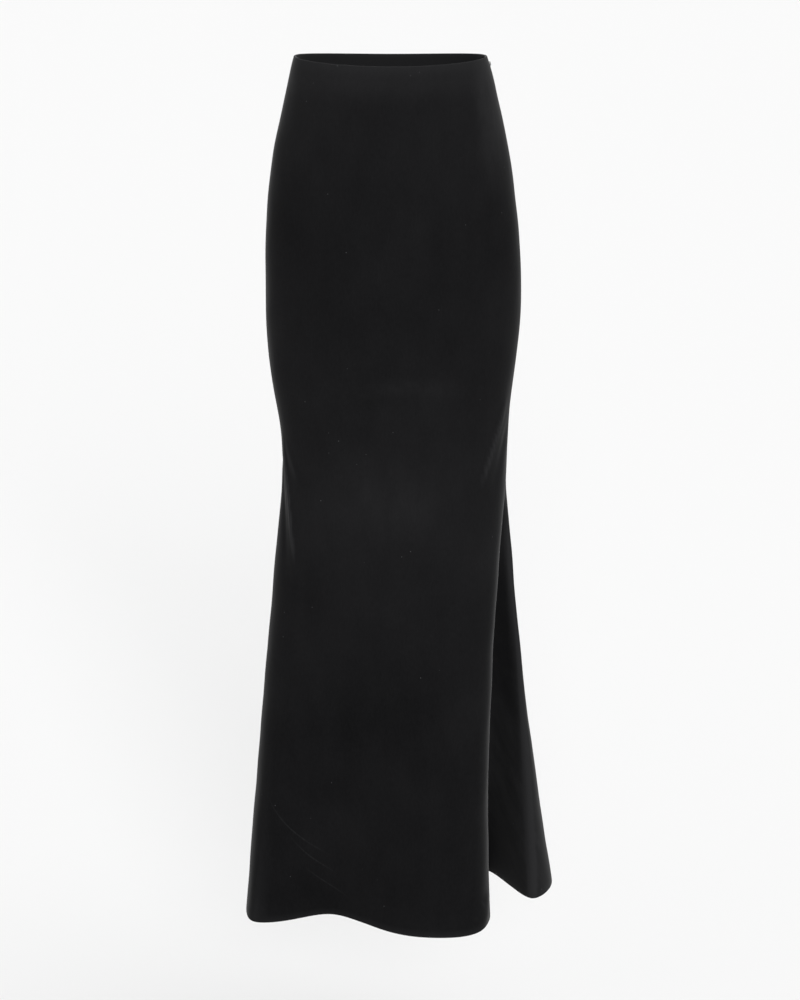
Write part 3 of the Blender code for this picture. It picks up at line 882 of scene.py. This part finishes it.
def coil_along(name, edge, normals, pitch):
    """A flattened spring of nylon along the tape's edge, one turn to each pitch."""
    lengths = np.concatenate([[0.0], np.cumsum(np.linalg.norm(np.diff(edge, axis=0), axis=1))])
    turns = int(lengths[-1] / pitch)
    t = np.linspace(0, 1, turns * COIL_POINTS + 1)
    centre = np.stack([np.interp(t * lengths[-1], lengths, edge[:, k]) for k in range(3)], axis=1)
    way = np.stack([np.interp(t * lengths[-1], lengths, normals[:, k]) for k in range(3)], axis=1)
    along = np.gradient(centre, axis=0)
    along /= np.linalg.norm(along, axis=1, keepdims=True)
    across = np.cross(way, along)
    angle = 2 * math.pi * turns * t
    points = centre + COIL_HALF_WIDTH * np.cos(angle)[:, None] * across
    points = points + COIL_HALF_HEIGHT * np.sin(angle)[:, None] * way
    curve = bpy.data.curves.new(name, "CURVE")
    curve.dimensions = "3D"
    spline = curve.splines.new("POLY")
    spline.points.add(len(points) - 1)
    spline.points.foreach_set("co", np.concatenate([points, np.ones((len(points), 1))], axis=1).ravel())
    curve.bevel_depth = COIL_WIRE
    curve.bevel_resolution = 1
    curve.use_fill_caps = True
    coil = bpy.data.objects.new(name, curve)
    bpy.context.scene.collection.objects.link(coil)
    select_only(coil)
    bpy.ops.object.convert(target="MESH")
    return bpy.context.view_layer.objects.active


class SKIRT_OT_front(bpy.types.Operator):
    """Make the velvet front"""

    bl_idname = "skirt.front"
    bl_label = "Front"

    def execute(self, context):
        scene = context.scene
        sew_panel("front_panel", "velvet_front", scene.skirt_sizes, scene.skirt_colours)
        return {"FINISHED"}


class SKIRT_OT_back(bpy.types.Operator):
    """Make the velvet back"""

    bl_idname = "skirt.back"
    bl_label = "Back"

    def execute(self, context):
        scene = context.scene
        sew_panel("back_panel", "velvet_back", scene.skirt_sizes, scene.skirt_colours)
        return {"FINISHED"}


class SKIRT_OT_seam_allowances(bpy.types.Operator):
    """Press the side seams' allowances open on the inside"""

    bl_idname = "skirt.seam_allowances"
    bl_label = "Seam allowances"

    def execute(self, context):
        sizes = context.scene.skirt_sizes
        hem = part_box("front_panel")[0].z
        sides = (("left", False, TAPE_BOX[0].z - ALLOWANCE_FOOT), ("right", True, ALLOWANCE_TOP))
        for side, front_first, top in sides:
            halves = []
            for node, first in (("front_panel", front_first), ("back_panel", not front_first)):
                grid, normals = seam_edge(node, first, top, hem, sizes)
                depth = np.full(len(grid), sizes.cloth + ALLOWANCE_GAP)
                halves.append(strip_beside(grid, normals, sizes.allowance, depth)[:-1])
            count = min(len(half) for half in halves)
            rows = np.concatenate([halves[0][:count, ::-1], halves[1][:count]], axis=1)
            if side == "right":
                rows = rows[:, ::-1]
            name = f"velvet_seam_allowance_{side}"
            piece = cloth_piece(name, rows[:, ::-1], ALLOWANCE_THICKNESS, [once(knit_back)])
            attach(piece, BODY)
        return {"FINISHED"}


class SKIRT_OT_zip_tapes(bpy.types.Operator):
    """Make the zip's two tapes and their nylon coils inside the left side seam"""

    bl_idname = "skirt.zip_tapes"
    bl_label = "Zip tapes"

    def execute(self, context):
        sizes = context.scene.skirt_sizes
        foot, top = TAPE_BOX[0].z - TAPE_OVERLAP, TAPE_BOX[1].z + TAPE_OVERLAP
        tapes = (("front_panel", "zip_tape_front", False), ("back_panel", "zip_tape_back", True))
        for node, tape_node, first in tapes:
            grid, normals = seam_edge(node, first, top, foot, sizes)
            below_top = grid[0, 0, 2] - grid[:, 0, 2]
            turned = np.clip((TURNED_TAPE_REACH - below_top) / TURNED_TAPE_FADE, 0.0, 1.0)
            depth = TAPE_DEPTH + TURNED_TAPE_DEPTH * turned
            rows = strip_beside(grid, normals, sizes.tape_width, depth)
            if first:
                rows = rows[:, ::-1]
            side = tape_node.removeprefix("zip_")
            tape = cloth_piece("woven_" + side, rows[:, ::-1], TAPE_THICKNESS, [once(woven_tape)])
            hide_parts(tape_node)
            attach(tape, BODY)
            inside = strip_beside(grid, normals, COIL_REACH, depth + COIL_DEPTH)[:, COIL_COLUMN]
            coil = coil_along("coil_" + side, inside, normals[:, 0], sizes.coil_pitch)
            coil.data.materials.append(once(coil_nylon))
            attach(coil, BODY)
        return {"FINISHED"}


class SKIRT_OT_zip_metal(bpy.types.Operator):
    """Round off the zip's slider and its pull, and lacquer them"""

    bl_idname = "skirt.zip_metal"
    bl_label = "Zip slider and pull"

    def execute(self, context):
        for node, name, body, edge in CASTINGS:
            piece = copy_of(node, name)
            bpy.ops.object.mode_set(mode="EDIT")
            bpy.ops.mesh.select_all(action="SELECT")
            bpy.ops.mesh.dissolve_limited(angle_limit=math.radians(2))
            bpy.ops.object.mode_set(mode="OBJECT")
            rounding = piece.modifiers.new("Rounded edges", "BEVEL")
            rounding.width = edge
            rounding.segments = 3
            rounding.limit_method = "ANGLE"
            rounding.angle_limit = math.radians(40)
            bpy.ops.object.modifier_apply(modifier=rounding.name)
            bpy.ops.object.shade_smooth_by_angle(angle=math.radians(35))
            piece.data.materials.append(once(lacquered_zinc))
            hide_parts(node)
            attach(piece, body)
        return {"FINISHED"}


class SKIRT_OT_stage(bpy.types.Operator):
    """Lay a pale floor, hang soft studio light and place the camera"""

    bl_idname = "skirt.stage"
    bl_label = "Studio"

    def execute(self, context):
        scene = context.scene
        floor_height = CAD_BOX[0].z - FLOOR_DROP
        deselect_all()
        bpy.ops.mesh.primitive_circle_add(
            vertices=96, radius=FLOOR_RADIUS, fill_type="NGON", location=(0, 0, floor_height)
        )
        floor = context.object
        floor.name = "studio_floor"
        material, tree, shader = new_material("matt_white_paper")
        place = add_node(tree, "ShaderNodeTexCoord").outputs["Object"]
        tooth = add_node(tree, "ShaderNodeTexNoise", {"Scale": 300.0}, {"Vector": place})
        bump = add_node(
            tree, "ShaderNodeBump", {"Strength": 0.05, "Distance": 0.0002}, {"Height": tooth.outputs["Fac"]}
        )
        tree.links.new(bump.outputs["Normal"], shader.inputs["Normal"])
        shader.inputs["Base Color"].default_value = linear(FLOOR_WHITE)
        shader.inputs["Roughness"].default_value = 1.0
        shader.inputs["Specular IOR Level"].default_value = 0.0
        floor.data.materials.append(material)
        # white walls all round, up to 14 degrees above the floor, fading to a dimmer ceiling
        world = bpy.data.worlds.new("studio_walls")
        world.use_nodes = True
        tree = world.node_tree
        way = add_node(tree, "ShaderNodeTexCoord").outputs["Generated"]
        up = add_node(tree, "ShaderNodeSeparateXYZ", links={"Vector": way}).outputs["Z"]
        glow = add_node(
            tree,
            "ShaderNodeMapRange",
            {"From Min": 0.25, "From Max": 0.65, "To Min": WALL_LIGHT, "To Max": CEILING_LIGHT},
            {"Value": up},
        )
        tree.links.new(glow.outputs[0], tree.nodes["Background"].inputs["Strength"])
        tree.nodes["Background"].inputs["Color"].default_value = (1.0, 1.0, 1.0, 1.0)
        scene.world = world
        for lamp in LAMPS:
            light = bpy.data.lights.new(lamp.name, "SUN")
            light.energy = lamp.strength
            light.angle = math.radians(lamp.spread)
            holder = bpy.data.objects.new(lamp.name, light)
            scene.collection.objects.link(holder)
            holder.rotation_euler = (math.radians(lamp.tilt), 0.0, math.radians(lamp.heading))
        camera = bpy.data.cameras.new("camera")
        camera.lens = CAMERA_LENS
        camera.clip_end = 200.0
        eye = bpy.data.objects.new("camera", camera)
        scene.collection.objects.link(eye)
        away = Vector((0.0, -math.cos(CAMERA_ELEVATION), math.sin(CAMERA_ELEVATION)))
        eye.location = Vector(CAMERA_TARGET) + CAMERA_DISTANCE * away
        eye.rotation_mode = "QUATERNION"
        eye.rotation_quaternion = (-away).to_track_quat("-Z", "Y")
        scene.camera = eye
        scene.view_settings.view_transform = "Standard"
        return {"FINISHED"}


class SKIRT_PT_panel(bpy.types.Panel):
    bl_label = "Skirt"
    bl_idname = "SKIRT_PT_panel"
    bl_space_type = "VIEW_3D"
    bl_region_type = "UI"
    bl_category = "Skirt"

    def draw(self, context):
        column = self.layout.column()
        for group in (context.scene.skirt_sizes, context.scene.skirt_colours):
            for name in group.__annotations__:
                column.prop(group, name)
        for operator in OPERATORS:
            column.operator(operator.bl_idname)


OPERATORS = (
    SKIRT_OT_front,
    SKIRT_OT_back,
    SKIRT_OT_seam_allowances,
    SKIRT_OT_zip_tapes,
    SKIRT_OT_zip_metal,
    SKIRT_OT_stage,
)
CLASSES = (SkirtSizes, SkirtColours, *OPERATORS, SKIRT_PT_panel)


def register():
    for cls in CLASSES:
        bpy.utils.register_class(cls)
    bpy.types.Scene.skirt_sizes = PointerProperty(type=SkirtSizes)
    bpy.types.Scene.skirt_colours = PointerProperty(type=SkirtColours)


def unregister():
    del bpy.types.Scene.skirt_colours
    del bpy.types.Scene.skirt_sizes
    for cls in reversed(CLASSES):
        bpy.utils.unregister_class(cls)


def main():
    register()
    bpy.ops.skirt.front()
    bpy.ops.skirt.back()
    bpy.ops.skirt.seam_allowances()
    bpy.ops.skirt.zip_tapes()
    bpy.ops.skirt.zip_metal()
    bpy.ops.skirt.stage()
    bpy.context.view_layer.update()


if __name__ == "__main__":
    main()
